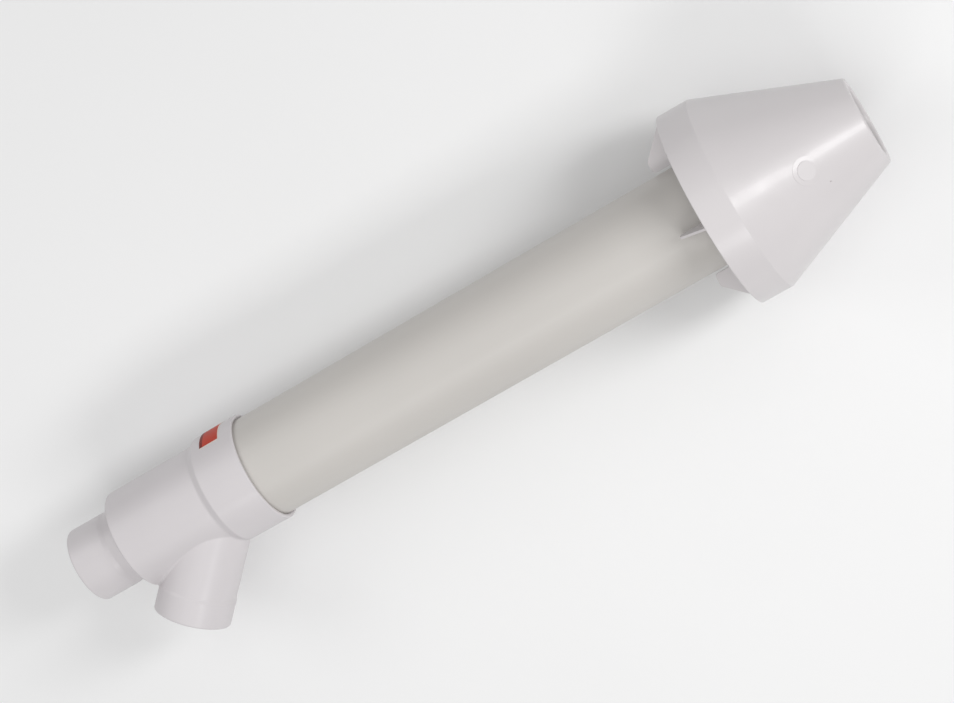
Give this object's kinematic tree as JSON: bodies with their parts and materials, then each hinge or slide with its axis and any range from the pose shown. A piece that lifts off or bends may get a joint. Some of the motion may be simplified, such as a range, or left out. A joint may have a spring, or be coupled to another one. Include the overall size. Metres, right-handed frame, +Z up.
{
  "type": "concentric vent termination",
  "caption": "White PVC concentric vent termination: finned conical rain cap, outer air pipe around an inner vent pipe, and a wye fitting with a straight port and an angled branch.",
  "frame": {"origin": "centre of the straight exhaust port's mouth, on the common axis of the pipes", "axes": "+X along the common axis to the tip of the rain cap, the intake branch leaves towards -X -Y, +Z up with the pipes level, as through a wall"},
  "size_m": [0.7499, 0.1873, 0.1686],
  "materials": {
    "fitting_pvc": "moulded white PVC, satin",
    "pipe_pvc": "extruded white PVC, semi-matte",
    "cap_pvc": "moulded white PVC, smooth",
    "label_film": "printed film, orange-red"
  },
  "bodies": {
    "outer_pipe": {"outer_pipe": "pipe_pvc"},
    "wye": {"wye_body": "fitting_pvc", "exhaust_hub": "fitting_pvc", "label": "label_film"},
    "inner_pipe": {"inner_pipe": "pipe_pvc"},
    "rain_cap": {"rain_cap": "cap_pvc"}
  },
  "joints": [
    {"name": "wye_slide", "type": "slide", "parent": "outer_pipe", "child": "wye", "axis": [-1, 0, 0], "range_m": [0, 0.045]},
    {"name": "inner_slide", "type": "slide", "parent": "outer_pipe", "child": "inner_pipe", "axis": [1, 0, 0], "range_m": [0, 0.6]},
    {"name": "cap_turn", "type": "hinge", "parent": "inner_pipe", "child": "rain_cap", "pos_m": [0.7, 0, 0], "axis": [1, 0, 0], "continuous": true}
  ]
}
